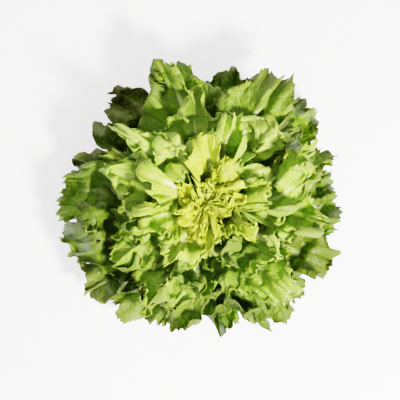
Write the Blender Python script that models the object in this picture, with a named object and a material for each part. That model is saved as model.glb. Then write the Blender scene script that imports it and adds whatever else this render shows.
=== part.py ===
"""Curly endive head, as cut, standing on the cut face of its own stem.

Metres, +Z up. The origin is the centre of the cut face, on the surface that the head stands on. +Y is
the top of the photo and +X its right.

The leaves grow up a short cone of stem, from the long outer leaves, which arch over and come down
towards the surface, to the short upright ones round the heart. Each leaf lies near one bowl of a
family of nested bowls. A bowl is a circular arc turned about Z, from a foot on the stem's side, and is
named by its layer: 0 is the lowest bowl and 1 the steepest. A point of a leaf is then given by its
layer, the distance along the bowl from the stem, and its azimuth. Leaves are laid from the lowest up,
and each is lifted wherever it would touch the ones under it, so none of them cross.
"""

import math
from typing import NamedTuple

import bmesh
import bpy
import numpy as np

# Stem: a cut stub below the leaves, then a cone that they grow from.
CUT_RADIUS = 0.0150
STEM_RADIUS = 0.0165
STEM_TIP_RADIUS = 0.0030
LOWEST_LEAF_Z = 0.0095
STEM_TIP_Z = 0.0520
STEM_SIDES = 24

# The nested bowls: how steeply each leaves the stem, and how it turns outwards along its length.
LOW_BOWL_RISE = math.radians(21)
TOP_BOWL_RISE = math.radians(84)
LOW_BOWL_TURN = -4.7
TOP_BOWL_TURN = -4.9

# Leaves from the lowest up: azimuth of the tip, its distance from the heart, half the width of the
# blade, and how far round the leaf swings on its way out. Degrees and millimetres, from the photo.
OUTER_LEAVES = (
    (130, 174, 42, 10),
    (-5, 152, 54, 0),
    (-116, 149, 52, -6),
    (80, 160, 50, 4),
    (152, 164, 56, 0),
    (44, 165, 50, -6),
    (-84, 151, 42, 6),
    (174, 173, 54, 4),
    (12, 149, 50, 6),
    (-52, 156, 48, -4),
    (-145, 161, 54, 0),
    (107, 182, 44, 4),
    (-26, 149, 50, 4),
    (-165, 174, 50, -6),
    (30, 153, 46, 0),
    (-68, 149, 42, 6),
    (-100, 146, 48, 0),
    (60, 168, 50, -6),
)
MIDDLE_LEAVES = (
    (-122, 140, 46, -6),
    (53, 145, 46, -22),
    (-50, 136, 44, 0),
    (164, 139, 38, 8),
    (-148, 128, 44, 6),
    (100, 134, 38, 0),
    (-5, 130, 48, -6),
    (141, 126, 42, 8),
    (-27, 116, 40, 6),
    (-101, 110, 42, 0),
    (24, 132, 38, 26),
    (-75, 100, 36, -6),
    (-170, 106, 38, 6),
    (75, 110, 38, 0),
)
INNER_LEAVES = (
    (124, 102, 38, 6),
    (-126, 78, 34, 0),
    (38, 86, 32, 6),
    (-60, 78, 30, 0),
    (-165, 76, 30, 8),
    (150, 82, 33, 0),
    (92, 84, 22, 4),
    (10, 68, 28, 0),
    (-95, 62, 26, 8),
    (54, 70, 25, 4),
    (-30, 58, 25, 0),
)
SEED = 41

# The heart: small leaves by the golden angle, from the lowest to the highest.
HEART_COUNT = 9
HEART_LENGTHS = (0.062, 0.046)
HEART_HALF_WIDTHS = (0.018, 0.011)
FOOT_SINK = 0.4  # their feet stand this share of the way out from the Z axis to the stem's side
GOLDEN_ANGLE = math.radians(137.508)

# A leaf's blade, and the fleshy rib that runs up its back from the stem.
BLADE_THICKNESS = 0.0009
RIB_DEPTH = 0.0022
RIB_WIDTH_SHARE = 0.45
RIB_END_SHARE = 0.62
FOOT_HALF_WIDTH = 0.0080

# Clear space between leaves at their feet and further out, over the surface, and beside the stem. The
# heart's leaves run into each other at their feet, where they are one body.
FOOT_LEAF_GAP = 0.0007
LEAF_GAP = 0.0018
FUSED_FOOT_GAP = -0.0012
SURFACE_GAP = 0.0012
STEM_GAP = 0.0004

# The map of what is already laid: one row each 2.5 mm along the bowls, one column each degree.
MAP_STEP = 0.0025
MAP_ROWS = 88
MAP_COLUMNS = 360
EDGE_MARGIN = 0.03  # how far outside a triangle a cell may lie and still count as under it


class Whorl(NamedTuple):
    """Leaves of one kind, from the lowest layer to the highest."""

    name: str
    layers: tuple
    wave: float  # height of the waves at the margin
    cup: tuple  # how far the margins stand above the rib, at least and at most
    lean: tuple  # how far the tip stands above its bowl, at least and at most
    rows: int
    columns: int
    foot_gap: float


OUTER = Whorl("outer_leaf", (0.0, 0.24), 0.0085, (-0.008, 0.006), (-0.006, 0.006), 11, 7, FOOT_LEAF_GAP)
MIDDLE = Whorl("middle_leaf", (0.27, 0.50), 0.0085, (-0.004, 0.012), (-0.004, 0.008), 11, 7, FOOT_LEAF_GAP)
INNER = Whorl("inner_leaf", (0.53, 0.74), 0.0070, (0.0, 0.012), (-0.003, 0.005), 9, 7, FOOT_LEAF_GAP)
HEART = Whorl("heart_leaves", (0.85, 0.96), 0.0035, (0.0, 0.005), (-0.002, 0.002), 7, 5, FUSED_FOOT_GAP)
HEART_LAYER = 0.79  # where the stem's cone ends and the heart's own tip begins

OUTER_COLOUR = (0.12, 0.24, 0.03)
MIDDLE_COLOUR = (0.26, 0.42, 0.06)
INNER_COLOUR = (0.46, 0.60, 0.14)
HEART_COLOUR = (0.78, 0.80, 0.25)
STEM_COLOUR = (0.80, 0.82, 0.62)
LEAF_ROUGHNESS = 0.5


class Leaf(NamedTuple):
    """One leaf's own measures. Angles are in radians, and waves are counted round the whole margin."""

    azimuth: float  # of its foot
    swing: float
    layer: float
    length: float
    half_width: float
    foot_half_width: float
    wave: float
    cup: float
    lean: float
    wave_counts: tuple
    wave_phases: tuple


def mix(low, high, share):
    return low + (high - low) * share


def smooth_step(low, high, x):
    x = np.clip((x - low) / (high - low), 0.0, 1.0)
    return x * x * (3 - 2 * x)


def stem_radius_at(layer):
    return mix(STEM_RADIUS, STEM_TIP_RADIUS, layer)


def stem_height_at(layer):
    return mix(LOWEST_LEAF_Z, STEM_TIP_Z, layer)


def bowl_angle(layer, along):
    """How steeply a bowl climbs at a distance along it."""
    return mix(LOW_BOWL_RISE, TOP_BOWL_RISE, layer) + mix(LOW_BOWL_TURN, TOP_BOWL_TURN, layer) * along


def bowl_point(layer, along):
    """(radius, height) of a bowl at a distance along its arc."""
    turn = mix(LOW_BOWL_TURN, TOP_BOWL_TURN, layer)
    start = bowl_angle(layer, 0.0)
    end = bowl_angle(layer, along)
    radius = stem_radius_at(layer) + (np.sin(end) - np.sin(start)) / turn
    height = stem_height_at(layer) - (np.cos(end) - np.cos(start)) / turn
    return radius, height


def layer_depth(layer, along):
    """The distance between bowls, square to them, per unit of layer."""
    step = 1e-4
    radius, height = bowl_point(layer, along)
    next_radius, next_height = bowl_point(layer + step, along)
    angle = bowl_angle(layer, along)
    return ((next_height - height) * np.cos(angle) - (next_radius - radius) * np.sin(angle)) / step


def length_to_reach(layer, reach):
    """How long a leaf of this layer is when its tip is that far from the Z axis."""
    turn = mix(LOW_BOWL_TURN, TOP_BOWL_TURN, layer)
    start = bowl_angle(layer, 0.0)
    end = math.asin(math.sin(start) + turn * (reach - stem_radius_at(layer)))
    return (end - start) / turn


def leaves_of(whorl, measures, draw):
    """The whorl's leaves in growing order, each with its own waves."""
    leaves = []
    for n, (azimuth, length, half_width, swing) in enumerate(measures):
        layer = mix(*whorl.layers, n / (len(measures) - 1))
        leaves.append(
            Leaf(
                azimuth=azimuth - swing,
                swing=swing,
                layer=layer,
                length=length,
                half_width=half_width,
                foot_half_width=min(FOOT_HALF_WIDTH, 0.55 * stem_radius_at(layer) + 0.001),
                wave=whorl.wave * draw.uniform(0.8, 1.25),
                cup=draw.uniform(*whorl.cup),
                lean=draw.uniform(*whorl.lean),
                wave_counts=(draw.uniform(5.5, 7.5), draw.uniform(9.0, 11.0)),
                wave_phases=(draw.uniform(0, math.tau), draw.uniform(0, math.tau)),
            )
        )
    return leaves


def measured(whorl, table):
    """A whorl's table in metres and radians, with each leaf's length found from its reach."""
    measures = []
    for n, (azimuth, reach, half_width, swing) in enumerate(table):
        layer = mix(*whorl.layers, n / (len(table) - 1))
        length = length_to_reach(layer, reach / 1000)
        measures.append((math.radians(azimuth), length, half_width / 1000, math.radians(swing)))
    return measures


def heart_measures(draw):
    """The heart's leaves: each one a golden angle on from the last, and a little smaller."""
    measures = []
    for n in range(HEART_COUNT):
        share = n / (HEART_COUNT - 1)
        length = mix(*HEART_LENGTHS, share) * draw.uniform(0.94, 1.06)
        half_width = mix(*HEART_HALF_WIDTHS, share) * draw.uniform(0.9, 1.1)
        measures.append((GOLDEN_ANGLE * n, length, half_width, draw.uniform(-0.2, 0.3)))
    return measures


def half_width_at(leaf, u):
    """A narrow foot, a blade that is widest at two thirds of its length, and a blunt tip."""
    spread = smooth_step(0.10, 0.64, u)
    taper = 1 - 0.42 * smooth_step(0.70, 1.0, u)
    return mix(leaf.foot_half_width, leaf.half_width, spread) * taper


def margin_place(u, v):
    """(nearness to the margin from 0 to 1, angle round the margin from one side of the foot to the other)."""
    forward = (u - 0.35) / 0.65
    return np.maximum(np.abs(v), forward), np.arctan2(v, forward)


def blade_surface(leaf, u, v):
    """(layer, distance, azimuth) of the leaf's middle surface, before it is laid on those under it."""
    across = v * half_width_at(leaf, u)
    along = leaf.length * (u - 0.16 * u**4 * v**2)
    angle = bowl_angle(leaf.layer, along)
    radius = np.maximum(bowl_point(leaf.layer, along)[0], STEM_TIP_RADIUS)
    stick_out = (np.hypot(radius, across) - radius) * smooth_step(0.0, 0.2, u)
    along = along + stick_out * np.cos(angle)
    edge, round_margin = margin_place(u, v)
    ramp = smooth_step(0.15, 0.6, u)
    waves = sum(
        share * np.sin(count * round_margin + phase)
        for share, count, phase in zip((0.65, 0.45), leaf.wave_counts, leaf.wave_phases)
    )
    lift = leaf.wave * ramp * edge**1.7 * waves
    lift = lift + leaf.cup * ramp * v**2 + leaf.lean * u**2 - 0.8 * stick_out * np.sin(angle)
    layer = leaf.layer + lift / layer_depth(leaf.layer, along)
    return layer, along, leaf.azimuth + np.arctan2(across, radius) + leaf.swing * u**2


def blade_depths(leaf, u, v):
    """(above, below): how far the two faces stand off the middle surface. The rib is on the underside."""
    rib = (1 - smooth_step(0.0, RIB_WIDTH_SHARE, np.abs(v))) * (1 - smooth_step(0.0, RIB_END_SHARE, u))
    size = min(1.0, leaf.half_width / 0.040)
    half = np.full_like(u, BLADE_THICKNESS / 2)
    return half, half + RIB_DEPTH * size * rib


def surface_map():
    """The layer at which each cell clears the surface that the head stands on."""
    layers = np.linspace(-0.6, 1.0, 400)
    laid = np.empty((MAP_ROWS, MAP_COLUMNS))
    for row in range(MAP_ROWS):
        heights = bowl_point(layers, row * MAP_STEP)[1]
        laid[row] = np.interp(SURFACE_GAP, heights, layers)
    return laid


def cells_under(rows, columns):
    """The map's cells under a triangle, and the weights of its corners at each."""
    row = np.arange(math.ceil(rows.min()), math.floor(rows.max()) + 1)
    column = np.arange(math.ceil(columns.min()), math.floor(columns.max()) + 1)
    row, column = (grid.ravel() for grid in np.meshgrid(row, column, indexing="ij"))
    area = (rows[1] - rows[0]) * (columns[2] - columns[0]) - (rows[2] - rows[0]) * (columns[1] - columns[0])
    if abs(area) < 1e-9 or not len(row):
        return row[:0], column[:0], np.zeros((0, 3))
    down = row - rows[0]
    right = column - columns[0]
    second = (down * (columns[2] - columns[0]) - (rows[2] - rows[0]) * right) / area
    third = ((rows[1] - rows[0]) * right - down * (columns[1] - columns[0])) / area
    weights = np.stack([1 - second - third, second, third], axis=1)
    inside = (weights > -EDGE_MARGIN).all(axis=1) & (row >= 0) & (row < MAP_ROWS)
    return row[inside], column[inside] % MAP_COLUMNS, weights[inside]


def place(layer, along, azimuth):
    """Points in metres, from layers, distances and azimuths."""
    radius, height = bowl_point(layer, along)
    return np.stack([radius * np.cos(azimuth), radius * np.sin(azimuth), height], axis=-1)


def layers_across(layer, along, azimuth, weights):
    """The layers of a flat triangle at its cells: between its corners the bowls bend away from it."""
    mid_layer = weights @ layer
    mid_along = weights @ along
    mid_azimuth = weights @ azimuth
    off = weights @ place(layer, along, azimuth) - place(mid_layer, mid_along, mid_azimuth)
    angle = bowl_angle(mid_layer, mid_along)
    outward = off[:, 0] * np.cos(mid_azimuth) + off[:, 1] * np.sin(mid_azimuth)
    rise = off[:, 2] * np.cos(angle) - outward * np.sin(angle)
    return mid_layer + rise / layer_depth(mid_layer, mid_along)


def triangles_of(rows, columns):
    """Corner numbers of a grid's triangles, two for each cell, all split the same way."""
    number = np.arange(rows * columns).reshape(rows, columns)
    a, b, c, d = number[:-1, :-1], number[:-1, 1:], number[1:, 1:], number[1:, :-1]
    first = np.stack([a, b, c], axis=-1).reshape(-1, 3)
    second = np.stack([a, c, d], axis=-1).reshape(-1, 3)
    return np.concatenate([first, second])


def spread_lift(lift, shape):
    """The lift eased into its neighbours, and nowhere less than it was."""
    needed = lift.reshape(shape)
    eased = needed
    for _ in range(3):
        padded = np.pad(eased, 1, mode="edge")
        around = (padded[:-2, 1:-1] + padded[2:, 1:-1] + padded[1:-1, :-2] + padded[1:-1, 2:]) / 4
        eased = np.maximum(needed, 0.5 * eased + 0.5 * around)
    return eased.ravel()


def lay(surface, depths, gap, laid):
    """Lifts a leaf clear of what is laid, marks it on the map and returns its layers."""
    shape = surface[0].shape
    layer, along, azimuth = (grid.ravel() for grid in surface)
    above, below = (grid.ravel() for grid in depths)
    covers = [
        (corners, *cells_under(along[corners] / MAP_STEP, np.degrees(azimuth[corners])))
        for corners in triangles_of(*shape)
    ]
    covers = [cover for cover in covers if len(cover[1])]
    for _ in range(3):
        low = layer - (below + gap.ravel()) / layer_depth(layer, along)
        lift = np.zeros_like(layer)
        for corners, rows, columns, weights in covers:
            reached = layers_across(low[corners], along[corners], azimuth[corners], weights)
            short = (laid[rows, columns] - reached).max()
            lift[corners] = np.maximum(lift[corners], short)
        layer = layer + spread_lift(lift, shape)
    high = layer + above / layer_depth(layer, along)
    for corners, rows, columns, weights in covers:
        reached = layers_across(high[corners], along[corners], azimuth[corners], weights)
        np.maximum.at(laid, (rows, columns), reached)
    return layer.reshape(shape)


def normals_of(points):
    """Unit normals of a grid of points, on the upper side."""
    normal = np.cross(np.gradient(points, axis=0), np.gradient(points, axis=1))
    return normal / np.linalg.norm(normal, axis=-1, keepdims=True)


def toothed(surface, leaf):
    """The margin cut into teeth: every other point of it is drawn in."""
    layer, along, azimuth = surface
    rows = len(layer)
    for row in range(rows // 2, rows, 2):
        azimuth[row, 0] = mix(azimuth[row, 0], azimuth[row, 1], 0.24)
        azimuth[row, -1] = mix(azimuth[row, -1], azimuth[row, -2], 0.24)
    along[-1, 1::2] -= 0.055 * leaf.length
    return layer, along, azimuth


def leaf_faces(leaf, whorl, laid):
    """(upper points, lower points) of a leaf that has been laid."""
    u, v = np.meshgrid(np.linspace(0, 1, whorl.rows), np.linspace(-1, 1, whorl.columns), indexing="ij")
    depths = blade_depths(leaf, u, v)
    gap = mix(whorl.foot_gap, LEAF_GAP, smooth_step(0.0, 0.5, u))
    surface = toothed(blade_surface(leaf, u, v), leaf)
    layer = lay(surface, depths, gap, laid)
    _, along, azimuth = surface
    points = place(layer, along, azimuth)
    normals = normals_of(points)
    upper = points + normals * depths[0][..., None]
    lower = points - normals * depths[1][..., None]
    upper[0] = foot_of(layer[0], azimuth[0], depths[0][0])
    lower[0] = foot_of(layer[0], azimuth[0], -depths[1][0])
    return upper, lower


def foot_of(layer, azimuth, off):
    """The end of a leaf where it meets the stem, cut to follow the stem's side."""
    return place(layer + off / layer_depth(layer, 0.0), STEM_GAP, azimuth)


def material(name, colour):
    made = bpy.data.materials.new(name)
    made.use_nodes = True
    shader = made.node_tree.nodes["Principled BSDF"]
    shader.inputs["Base Color"].default_value = (*colour, 1.0)
    shader.inputs["Roughness"].default_value = LEAF_ROUGHNESS
    shader.inputs["Metallic"].default_value = 0.0
    return made


def add_object(name, points, faces, finish):
    mesh = bpy.data.meshes.new(name)
    mesh.from_pydata([tuple(p) for p in points], [], [tuple(int(n) for n in f) for f in faces])
    mesh.materials.append(finish)
    bm = bmesh.new()
    bm.from_mesh(mesh)
    bmesh.ops.recalc_face_normals(bm, faces=bm.faces)
    bm.to_mesh(mesh)
    bm.free()
    made = bpy.data.objects.new(name, mesh)
    bpy.context.scene.collection.objects.link(made)
    return made


def add_leaf(name, upper, lower, finish):
    """A closed blade: both faces split alike, and a rim between them."""
    rows, columns = upper.shape[:2]
    count = rows * columns
    top = triangles_of(rows, columns)
    number = np.arange(count).reshape(rows, columns)
    rim = np.concatenate([number[0, :-1], number[:-1, -1], number[-1, :0:-1], number[:0:-1, 0]])
    after = np.roll(rim, -1)
    near_walls = np.stack([rim, rim + count, after], axis=1)
    far_walls = np.stack([after, rim + count, after + count], axis=1)
    points = np.concatenate([upper.reshape(-1, 3), lower.reshape(-1, 3)])
    faces = np.concatenate([top, top[:, ::-1] + count, near_walls, far_walls])
    return add_object(name, points, faces, finish)


def add_turned(name, profile, finish):
    """A solid turned about Z from (radius, height) points, with flat ends."""
    turns = [math.tau * n / STEM_SIDES for n in range(STEM_SIDES)]
    points = [(r * math.cos(a), r * math.sin(a), z) for r, z in profile for a in turns]
    faces = [tuple(range(STEM_SIDES))[::-1], tuple(range(len(points) - STEM_SIDES, len(points)))]
    for ring in range(len(profile) - 1):
        for n in range(STEM_SIDES):
            low = ring * STEM_SIDES + n
            next_low = ring * STEM_SIDES + (n + 1) % STEM_SIDES
            faces.append((low, next_low, next_low + STEM_SIDES, low + STEM_SIDES))
    return add_object(name, points, faces, finish)


def add_stem():
    profile = [
        (CUT_RADIUS, 0.0),
        (STEM_RADIUS, 0.3 * LOWEST_LEAF_Z),
        (STEM_RADIUS, 0.8 * LOWEST_LEAF_Z),
        (stem_radius_at(HEART_LAYER), stem_height_at(HEART_LAYER)),
    ]
    return add_turned("stem", profile, material("stem", STEM_COLOUR))


def add_heart(laid, draw):
    """The small heart leaves, their feet sunk in the growing tip of the stem, all one body."""
    finish = material("heart_leaf", HEART_COLOUR)
    tip_profile = [
        (stem_radius_at(HEART_LAYER), stem_height_at(HEART_LAYER) + STEM_GAP),
        (stem_radius_at(0.97), stem_height_at(0.97)),
        (0.4 * stem_radius_at(0.97), stem_height_at(0.97) + 0.0015),
    ]
    heart = add_turned(HEART.name, tip_profile, finish)
    group = bpy.data.collections.new("heart_leaves")
    bpy.context.scene.collection.children.link(group)
    for n, leaf in enumerate(leaves_of(HEART, heart_measures(draw), draw)):
        upper, lower = leaf_faces(leaf, HEART, laid)
        for face in (upper, lower):
            face[0, :, :2] *= FOOT_SINK
        made = add_leaf(f"heart_leaf_{n}", upper, lower, finish)
        bpy.context.scene.collection.objects.unlink(made)
        group.objects.link(made)
    union = heart.modifiers.new("join", "BOOLEAN")
    union.operation = "UNION"
    union.operand_type = "COLLECTION"
    union.collection = group
    union.solver = "MANIFOLD"
    bpy.context.view_layer.objects.active = heart
    bpy.ops.object.modifier_apply(modifier="join")
    for made in list(group.objects):
        bpy.data.objects.remove(made)
    bpy.data.collections.remove(group)
    return heart


def clear_scene():
    for old in list(bpy.data.objects):
        bpy.data.objects.remove(old)


def main():
    clear_scene()
    draw = np.random.default_rng(SEED)
    laid = surface_map()
    add_stem()
    for whorl, table, colour in (
        (OUTER, OUTER_LEAVES, OUTER_COLOUR),
        (MIDDLE, MIDDLE_LEAVES, MIDDLE_COLOUR),
        (INNER, INNER_LEAVES, INNER_COLOUR),
    ):
        finish = material(whorl.name, colour)
        for n, leaf in enumerate(leaves_of(whorl, measured(whorl, table), draw)):
            upper, lower = leaf_faces(leaf, whorl, laid)
            add_leaf(f"{whorl.name}_{n + 1:02d}", upper, lower, finish)
    add_heart(laid, draw)


main()
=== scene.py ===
"""The looks of the curly endive head: every leaf as a thin ruffled blade, the heart, and the cut stem.

Metres, in the CAD's frame: +Z up, +Y the top of the photo and +X its right, the origin at the centre
of the stem's cut face. Each leaf is shaped from a flat sheet with the part's own bowls, so it lies
where its solid lies, and gets the finer ruffles, teeth and veins that the solid leaves out.
"""

import math
from typing import NamedTuple

import bpy
import numpy as np
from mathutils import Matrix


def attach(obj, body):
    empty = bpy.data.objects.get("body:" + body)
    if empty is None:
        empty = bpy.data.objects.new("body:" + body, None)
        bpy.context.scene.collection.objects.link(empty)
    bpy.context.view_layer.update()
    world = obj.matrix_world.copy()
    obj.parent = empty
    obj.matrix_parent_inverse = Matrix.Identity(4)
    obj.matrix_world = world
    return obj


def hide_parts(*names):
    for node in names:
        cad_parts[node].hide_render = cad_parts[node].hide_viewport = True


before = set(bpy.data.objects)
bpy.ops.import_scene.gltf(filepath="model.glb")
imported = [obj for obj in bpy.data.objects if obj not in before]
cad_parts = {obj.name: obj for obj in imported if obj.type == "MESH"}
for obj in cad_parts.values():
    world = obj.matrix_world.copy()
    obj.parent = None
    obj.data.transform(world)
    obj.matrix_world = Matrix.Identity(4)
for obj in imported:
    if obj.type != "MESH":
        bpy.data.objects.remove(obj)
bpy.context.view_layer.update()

# The part's driving sizes, in metres and radians.
STEM_RADIUS = 0.0165
STEM_TIP_RADIUS = 0.0030
LOWEST_LEAF_Z = 0.0095
STEM_TIP_Z = 0.0520
LOW_BOWL_RISE = math.radians(21)
TOP_BOWL_RISE = math.radians(84)
LOW_BOWL_TURN = -4.7
TOP_BOWL_TURN = -4.9
FOOT_HALF_WIDTH = 0.0080
SEED = 41

# Azimuth of the tip, its distance from the heart, half the blade's width and how far the leaf swings
# round on its way out, in degrees and millimetres, from the lowest leaf up.
OUTER_LEAVES = (
    (130, 174, 42, 10),
    (-5, 152, 54, 0),
    (-116, 149, 52, -6),
    (80, 160, 50, 4),
    (152, 164, 56, 0),
    (44, 165, 50, -6),
    (-84, 151, 42, 6),
    (174, 173, 54, 4),
    (12, 149, 50, 6),
    (-52, 156, 48, -4),
    (-145, 161, 54, 0),
    (107, 182, 44, 4),
    (-26, 149, 50, 4),
    (-165, 174, 50, -6),
    (30, 153, 46, 0),
    (-68, 149, 42, 6),
    (-100, 146, 48, 0),
    (60, 168, 50, -6),
)
MIDDLE_LEAVES = (
    (-122, 140, 46, -6),
    (53, 145, 46, -22),
    (-50, 136, 44, 0),
    (164, 139, 38, 8),
    (-148, 128, 44, 6),
    (100, 134, 38, 0),
    (-5, 130, 48, -6),
    (141, 126, 42, 8),
    (-27, 116, 40, 6),
    (-101, 110, 42, 0),
    (24, 132, 38, 26),
    (-75, 100, 36, -6),
    (-170, 106, 38, 6),
    (75, 110, 38, 0),
)
INNER_LEAVES = (
    (124, 102, 38, 6),
    (-126, 78, 34, 0),
    (38, 86, 32, 6),
    (-60, 78, 30, 0),
    (-165, 76, 30, 8),
    (150, 82, 33, 0),
    (92, 84, 22, 4),
    (10, 68, 28, 0),
    (-95, 62, 26, 8),
    (54, 70, 25, 4),
    (-30, 58, 25, 0),
)
HEART_COUNT = 9
HEART_LENGTHS = (0.062, 0.046)
HEART_HALF_WIDTHS = (0.018, 0.011)
GOLDEN_ANGLE = math.radians(137.508)
# The heart's many small leaves: from the outermost, their reach, height on the stem and half width.
FRILL_COUNT = 28
FRILL_REACHES = (0.046, 0.012)
FRILL_LAYERS = (0.755, 0.985)
FRILL_HALF_WIDTHS = (0.017, 0.012)
LOWEST_BUD_LAYER = 0.90
# How far along a blade its centre is, from which its margin is seen.
BLADE_CENTRE = 0.35
# The rows of a leaf's sheet lie closer together towards its tip.
ROW_CROWDING = 0.7

# How much of four tones these leaves have: a brown rim that is partly the leaf's own and partly painted
# shade, the heart's yellow, a paler green that is painted light and a darker green that is painted shade.
LEAF_TONES_AND_PAINTED_LIGHT = {
    "outer_leaf_01": (0.65, 0.0, 0.0, 0.0),
    "outer_leaf_02": (0.15, 0.0, 0.0, 1.0),
    "outer_leaf_03": (0.0, 0.0, 0.0, 0.3),
    "outer_leaf_04": (0.0, 0.0, 0.0, 0.0),
    "outer_leaf_05": (0.4, 0.0, 0.0, 0.0),
    "outer_leaf_07": (0.0, 0.0, 0.0, 0.4),
    "outer_leaf_08": (0.0, 0.0, 0.4, 0.0),
    "outer_leaf_09": (0.1, 0.0, 0.0, 0.9),
    "outer_leaf_10": (0.0, 0.0, 0.0, 0.35),
    "outer_leaf_11": (0.05, 0.0, 0.0, 0.0),
    "outer_leaf_12": (0.0, 0.0, 0.35, 0.15),
    "outer_leaf_13": (0.3, 0.0, 0.0, 1.0),
    "outer_leaf_14": (0.1, 0.0, 0.0, 0.8),
    "outer_leaf_15": (0.0, 0.0, 0.1, 0.0),
    "outer_leaf_16": (0.0, 0.0, 0.0, 0.7),
    "outer_leaf_17": (0.1, 0.0, 0.0, 0.2),
    "outer_leaf_18": (0.0, 0.0, 0.1, 0.0),
    "middle_leaf_01": (0.0, 0.0, 0.0, 0.1),
    "middle_leaf_02": (0.0, 0.0, 0.8, 0.0),
    "middle_leaf_03": (0.0, 0.0, 0.0, 0.2),
    "middle_leaf_04": (0.0, 0.0, 0.7, 0.0),
    "middle_leaf_05": (0.0, 0.0, 0.1, 0.2),
    "middle_leaf_06": (0.0, 0.0, 0.5, 0.0),
    "middle_leaf_08": (0.0, 0.0, 1.0, 0.0),
    "middle_leaf_09": (0.0, 0.0, 0.5, 0.0),
    "middle_leaf_10": (0.0, 0.0, 0.0, 0.7),
    "middle_leaf_11": (0.0, 0.0, 0.15, 0.0),
    "middle_leaf_12": (0.0, 0.0, 0.0, 0.6),
    "middle_leaf_14": (0.0, 0.0, 0.8, 0.0),
    "inner_leaf_01": (0.0, 0.0, 0.9, 0.0),
    "inner_leaf_02": (0.0, 0.0, 0.5, 0.0),
    "inner_leaf_03": (0.0, 0.0, 0.4, 0.0),
    "inner_leaf_04": (0.0, 0.0, 0.0, 1.0),
    "inner_leaf_05": (0.0, 0.0, 0.0, 0.15),
    "inner_leaf_06": (0.0, 0.15, 0.5, 0.0),
    "inner_leaf_07": (0.0, 0.5, 0.3, 0.0),
    "inner_leaf_08": (0.0, 0.1, 0.0, 0.35),
    "inner_leaf_09": (0.0, 0.25, 0.3, 0.0),
    "inner_leaf_10": (0.0, 0.5, 0.0, 0.2),
    "inner_leaf_11": (0.0, 0.3, 0.0, 0.3),
}
# Notches and points of a tip: place across it, width, and how far it stands out.
TIPS = {
    "outer_leaf_01": ((-0.6, 0.3, 0.024), (0.1, 0.2, -0.012)),
    "outer_leaf_03": ((-0.9, 0.4, 0.034),),
    "outer_leaf_04": ((-0.6, 0.4, 0.020),),
    "outer_leaf_05": ((0.0, 0.4, 0.012), (0.6, 0.3, 0.014)),
    "outer_leaf_07": ((-0.6, 0.35, -0.022),),
    "outer_leaf_08": ((0.8, 0.3, 0.014),),
    "outer_leaf_09": ((0.0, 0.4, -0.010),),
    "outer_leaf_10": ((-0.45, 0.25, 0.008), (0.25, 0.25, -0.012)),
    "outer_leaf_11": ((0.0, 0.8, 0.010),),
    "outer_leaf_12": ((-0.48, 0.15, -0.010), (0.1, 0.4, 0.004), (0.9, 0.3, 0.024)),
    "outer_leaf_13": ((-0.5, 0.3, 0.010), (0.45, 0.3, 0.012)),
    "outer_leaf_14": ((0.2, 0.3, -0.010),),
    "outer_leaf_15": ((-0.8, 0.3, 0.015), (-0.2, 0.3, -0.010)),
    "outer_leaf_16": ((-0.3, 0.6, 0.034),),
    "outer_leaf_17": ((0.75, 0.3, -0.025),),
    "outer_leaf_18": ((-0.5, 0.3, 0.012), (0.75, 0.3, 0.012)),
    "middle_leaf_08": ((0.0, 0.8, 0.012),),
}
# How far these tips are raised towards the light.
RAISED_TIPS = {
    "outer_leaf_12": 0.024,
    "outer_leaf_04": 0.018,
    "outer_leaf_18": 0.010,
    "middle_leaf_06": 0.002,
    "middle_leaf_08": 0.012,
    "middle_leaf_04": 0.008,
    "inner_leaf_07": 0.009,
    "inner_leaf_10": 0.004,
}
# How much these leaves are ruffled, against the rest of their whorl.
LIVELY = {
    "outer_leaf_01": 1.35,
    "outer_leaf_05": 1.35,
    "outer_leaf_14": 0.85,
    "middle_leaf_08": 0.8,
    "inner_leaf_07": 0.75,
}

# The blade as it looks: paper thin, on a rib that is thinner in leaves less wide than this.
BLADE_THICKNESS = 0.0006
RIB_THICKNESS = 0.0034
FULL_RIB_HALF_WIDTH = 0.040
FOOT_SUNK = 0.0015

# The map of what is already laid: one row each 2.5 mm along the bowls, one column each degree.
MAP_STEP = 0.0025
MAP_ROWS = 96
MAP_COLUMNS = 360
LEAF_GAP = 0.0012
SURFACE_GAP = 0.0010
# The share that a leaf gets of the lift that would clear those under it. In the heart it falls from the
# lowest small leaf to the highest.
LEAF_SOFTNESS = 0.8
HEART_SOFTNESS = (0.7, 0.15)
# The crown is a shallow dish: what stands above this height over the heart and round it is squashed.
HEART_HEIGHT = 0.080
CROWN_HEIGHT = 0.116
CROWN_RADII = (0.005, 0.062)
CROWN_SQUASH = 0.45
LEAST_RADIUS = 0.0008

# The heart's top swirls round and is pushed about, fading out lower down and further out.
SWIRL = 0.15
SWIRL_RADII = (0.010, 0.042)
SWIRL_HEIGHTS = (0.055, 0.082)
PUSH = 0.0056
PUSH_SIZE = 0.016
SWIRL_STREAM = 7


class Whorl(NamedTuple):
    """Leaves of one kind, from the lowest layer to the highest."""

    name: str
    layers: tuple
    wave: float
    cup: tuple
    lean: tuple
    rows: int
    columns: int
    frill: float  # the size of its ruffles and lobes
    stream: int  # the random numbers that its leaves' ruffles and folds are drawn from


OUTER = Whorl("outer_leaf", (0.0, 0.24), 0.0085, (-0.008, 0.006), (-0.006, 0.006), 76, 62, 1.15, 10)
MIDDLE = Whorl("middle_leaf", (0.27, 0.50), 0.0085, (-0.004, 0.012), (-0.004, 0.008), 76, 62, 1.05, 11)
INNER = Whorl("inner_leaf", (0.53, 0.74), 0.0070, (0.0, 0.012), (-0.003, 0.005), 66, 50, 0.85, 10)
HEART = Whorl("heart_leaves", (0.85, 0.96), 0.0035, (0.0, 0.005), (-0.002, 0.002), 42, 27, 0.8, 99)


class Leaf(NamedTuple):
    """One leaf's own measures, drawn as the part draws them."""

    azimuth: float
    swing: float
    layer: float
    length: float
    half_width: float
    foot_half_width: float
    wave: float
    cup: float
    lean: float
    wave_counts: tuple
    wave_phases: tuple


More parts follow.
